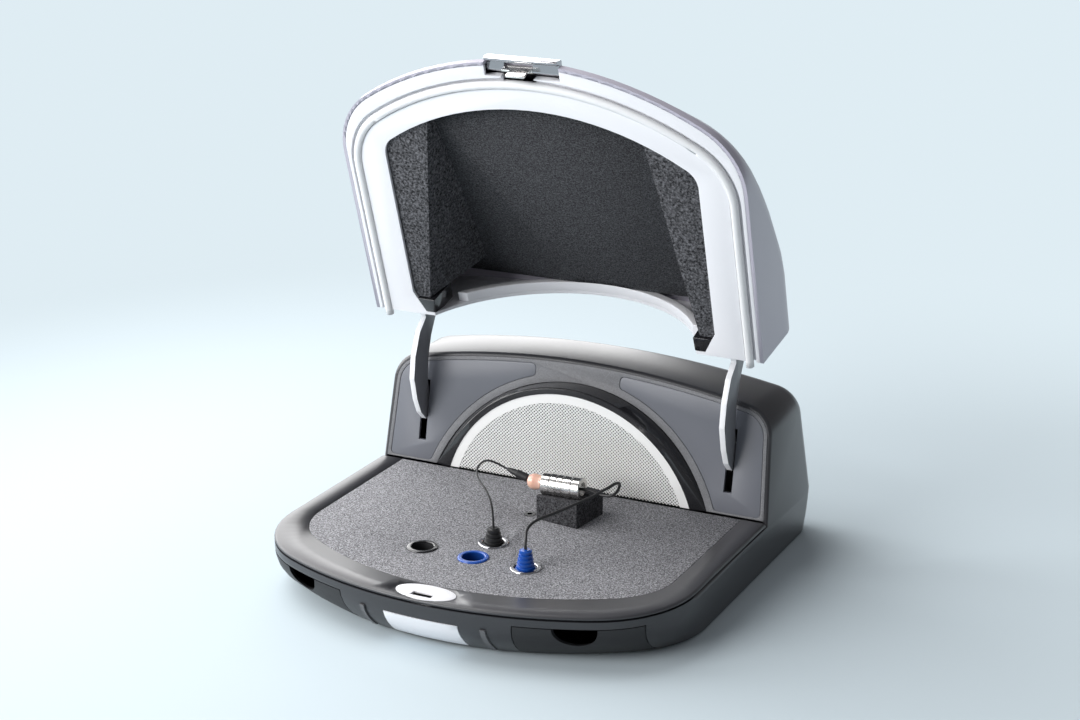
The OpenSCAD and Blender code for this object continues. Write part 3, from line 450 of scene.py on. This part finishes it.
# Each hole sits in a diamond, and the diamonds tile the field.
def makeField(g):
    halfPitch, row, hole = g["pitchMm"] / 2, g["rowMm"], g["holeMm"] / 2
    front, back = g["frontYMm"], g["frontYMm"] + g["thickMm"]
    points, faces = [], []

    def ringPoint(cx, cz, k):
        a = math.radians(22.5 + 45 * k)
        return (cx + hole * math.cos(a), cz + hole * math.sin(a))

    def inside(cx, cz):
        onDisc = math.hypot(cx, cz - g["centreZMm"]) < g["fieldMm"]
        return onDisc and cz - row > g["baseZMm"] - g["belowBaseMm"]

    def add(corners, y):
        start = len(points)
        points.extend((x, y, z) for x, z in corners)
        return list(range(start, len(points)))

    def addCell(cx, cz):
        outer = add([(cx + halfPitch, cz), (cx, cz + row), (cx - halfPitch, cz), (cx, cz - row)], front)
        edge = add([ringPoint(cx, cz, k) for k in range(8)], front)
        deep = add([ringPoint(cx, cz, k) for k in range(8)], back)
        for k in range(4):
            corner, following = outer[k], outer[(k + 1) % 4]
            faces.append((corner, edge[2 * k], edge[(2 * k - 1) % 8]))
            faces.append((corner, following, edge[(2 * k + 1) % 8], edge[2 * k]))
        for k in range(8):
            faces.append((edge[k], edge[(k + 1) % 8], deep[(k + 1) % 8], deep[k]))

    rows = int((g["radiusMm"] + g["centreZMm"] - g["baseZMm"]) / row)
    half = int(g["radiusMm"] / g["pitchMm"]) + 2
    for r in range(rows + 1):
        for c in range(-half, half + 1):
            cx = (c + (r % 2) / 2) * g["pitchMm"]
            cz = g["baseZMm"] + row * (r + 1)
            if inside(cx, cz):
                addCell(cx, cz)
    field = meshFrom("piercedSheet", points, faces)
    bpy.ops.mesh.remove_doubles(threshold=mergeGap / 2)
    bpy.ops.object.mode_set(mode="OBJECT")
    settle(field, "root", palette["grille_metal"])
    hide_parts("grille")


# The plain margin laps over the field's edge, stands a little proud of it and ends at the foot.
def makeMargin(g):
    steps = g["steps"]
    inner, outer = g["fieldMm"] - g["overlapMm"], g["radiusMm"]
    rise = g["baseZMm"] - g["centreZMm"]
    ring, faces = [], []
    for i in range(steps + 1):
        for radius in (inner, outer):
            start = math.asin(rise / radius)
            a = start + (math.pi - 2 * start) * i / steps
            for y in (g["frontYMm"] - g["proudMm"], g["frontYMm"] + g["thickMm"]):
                ring.append((radius * math.cos(a), y, g["centreZMm"] + radius * math.sin(a)))
    for k in range(0, 4 * steps, 4):
        faces += [(k, k + 4, k + 6, k + 2), (k + 1, k + 3, k + 7, k + 5), (k, k + 1, k + 5, k + 4),
                  (k + 2, k + 6, k + 7, k + 3)]
    last = 4 * steps
    faces += [(0, 2, 3, 1), (last, last + 1, last + 3, last + 2)]
    margin = meshFrom("sheetMargin", ring, faces)
    bpy.ops.mesh.normals_make_consistent(inside=False)
    bpy.ops.object.mode_set(mode="OBJECT")
    bpy.ops.object.shade_smooth_by_angle(angle=math.radians(30))
    settle(margin, "root", palette["grille_metal"])
    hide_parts("grille")


makeField(grilleSet)
makeMargin(grilleSet)
print("grille pierced")

# floorShade is the floor's own share of the paper's tone, and beyond the reach it is paper alone.
studio = {"floorSize": 14.0, "floorPlace": (0, 3, 0), "paper": (0.74, 0.845, 0.90), "floorShade": 0.76,
          "shadowReachMm": 900, "fadeFrom": 0.35, "skyTint": (0.95, 0.96, 1.0), "skyLight": 0.24,
          "aim": (0, 0, 0.12),
          "lamps": {"overhead": {"place": (-1.05, 0.15, 1.75), "size": (1.5, 1.5), "power": 28},
                    "leftWall": {"place": (-1.8, 1.9, 0.85), "size": (2.4, 1.5), "power": 42},
                    "lowLeft": {"place": (-2.1, -0.15, 0.85), "size": (1.8, 1.3), "power": 36},
                    "frontLeft": {"place": (-1.3, -2.0, 1.1), "size": (1.6, 1.4), "power": 60}}}


# Near the object the floor takes its shadow, and further out it shows the paper's own colour.
def paperMaterial():
    s = Shader("paper")
    shade = tuple(c * studio["floorShade"] for c in studio["paper"])
    shaded = s.node("ShaderNodeBsdfDiffuse", {}, {"Color": shade})
    plain = s.node("ShaderNodeEmission", {}, {"Color": studio["paper"], "Strength": 1.0})
    away = s.node("ShaderNodeVectorMath", {"operation": "LENGTH"}, {0: s.coords}, output=1)
    reach = studio["shadowReachMm"] * mm
    fade = s.node("ShaderNodeMapRange", {"interpolation_type": "SMOOTHSTEP"},
                  {"Value": away, "From Min": studio["fadeFrom"] * reach, "From Max": reach})
    camera, glossy, through = (s.node("ShaderNodeLightPath", output=ray) for ray in
                               ("Is Camera Ray", "Is Glossy Ray", "Is Transmission Ray"))
    seen = camera.math("MAXIMUM", glossy).math("MAXIMUM", through)
    blend = s.node("ShaderNodeMixShader", {}, {0: fade * seen, 1: shaded, 2: plain})
    out = s.tree.nodes.new("ShaderNodeOutputMaterial")
    s.tree.links.new(blend.socket, out.inputs[0])
    return s.material


def makeStudio():
    bpy.ops.mesh.primitive_plane_add(size=studio["floorSize"], location=studio["floorPlace"])
    floor = bpy.context.object
    floor.name = "paperFloor"
    bpy.ops.object.transform_apply(location=True)
    floor.data.materials.append(paperMaterial())
    for name, lamp in studio["lamps"].items():
        bpy.ops.object.light_add(type="AREA", location=lamp["place"])
        light = bpy.context.object
        light.name = name
        light.data.shape = "RECTANGLE"
        light.data.size, light.data.size_y = lamp["size"]
        light.data.energy = lamp["power"]
        light.visible_camera = False
        aim = Vector(studio["aim"]) - Vector(lamp["place"])
        light.rotation_euler = aim.to_track_quat("-Z", "Y").to_euler()
    world = bpy.data.worlds.new("pale")
    bpy.context.scene.world = world
    world.use_nodes = True
    background = world.node_tree.nodes["Background"]
    background.inputs["Color"].default_value = studio["skyTint"] + (1,)
    background.inputs["Strength"].default_value = studio["skyLight"]
    bpy.context.scene.view_settings.view_transform = "Standard"


makeStudio()
print("studio set")
